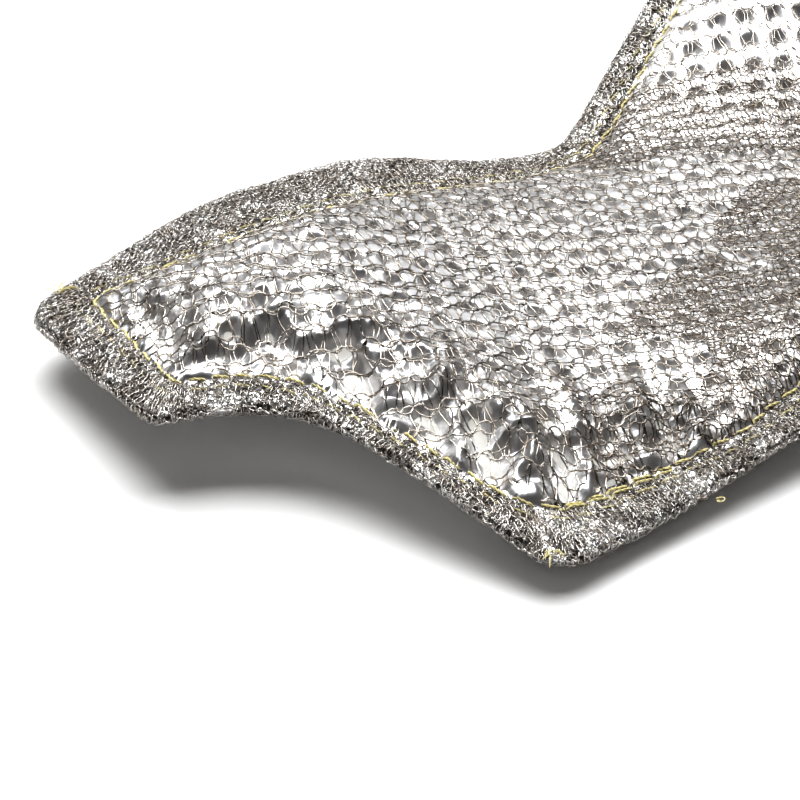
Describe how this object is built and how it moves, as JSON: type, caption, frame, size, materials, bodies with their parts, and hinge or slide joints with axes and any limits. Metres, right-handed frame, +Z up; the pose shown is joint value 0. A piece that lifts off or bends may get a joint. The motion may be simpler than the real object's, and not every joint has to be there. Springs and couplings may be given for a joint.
{
  "type": "flexible heat shield pad",
  "caption": "Shaped, sewn insulation pad: embossed foil and fibre mat between knitted wire meshes, with a folded mesh hem, stitched edge, bendable tab and raised wing.",
  "frame": {"origin": "on the surface the pad lies on, under the middle of its bounding box", "axes": "+Z up, out of the foil face; +X along the rows of embossed dimples, away from the tab; +Y towards the raised wing, the pad's longest extent"},
  "size_m": [0.1529, 0.1624, 0.0302],
  "materials": {
    "wire_mesh": "bright drawn wire",
    "bright_foil": "mirror bright, embossed and creased",
    "fibre_mat": "white felted fibre",
    "fine_mesh": "fine knitted wire, several plies",
    "yellow_thread": "twisted aramid thread"
  },
  "bodies": {
    "panel": {"panel_face_mesh": "wire_mesh", "panel_face_foil": "bright_foil", "panel_upper_mat": "fibre_mat", "panel_lower_mat": "fibre_mat", "panel_back_foil": "bright_foil", "panel_back_mesh": "wire_mesh", "panel_needle_thread": "yellow_thread", "panel_bobbin_thread": "yellow_thread", "panel_tack_thread": "yellow_thread", "panel_scallop_binding": "fine_mesh", "panel_front_binding": "fine_mesh", "panel_right_binding": "fine_mesh", "panel_notch_binding": "fine_mesh", "panel_rear_binding": "fine_mesh", "panel_thread_tails": "yellow_thread"},
    "tab": {"tab_face_mesh": "wire_mesh", "tab_face_foil": "bright_foil", "tab_upper_mat": "fibre_mat", "tab_lower_mat": "fibre_mat", "tab_back_foil": "bright_foil", "tab_back_mesh": "wire_mesh", "tab_needle_thread": "yellow_thread", "tab_bobbin_thread": "yellow_thread", "tab_tack_thread": "yellow_thread", "tab_end_binding": "fine_mesh", "tab_rear_binding": "fine_mesh", "tab_front_binding": "fine_mesh", "tab_thread_tails": "yellow_thread"},
    "wing": {"wing_face_mesh": "wire_mesh", "wing_face_foil": "bright_foil", "wing_upper_mat": "fibre_mat", "wing_lower_mat": "fibre_mat", "wing_back_foil": "bright_foil", "wing_back_mesh": "wire_mesh", "wing_needle_thread": "yellow_thread", "wing_bobbin_thread": "yellow_thread", "wing_tack_thread": "yellow_thread", "wing_right_binding": "fine_mesh", "wing_end_binding": "fine_mesh", "wing_left_binding": "fine_mesh"}
  },
  "joints": [
    {"name": "tab_flex", "type": "hinge", "parent": "panel", "child": "tab", "pos_m": [-0.04, 0, 0.01155], "axis": [0, 1, 0], "range_deg": [-10, 30]},
    {"name": "wing_flex", "type": "hinge", "parent": "panel", "child": "wing", "pos_m": [0, 0.0265, 0.00468], "axis": [1, 0, 0], "range_deg": [-20, 35]}
  ]
}
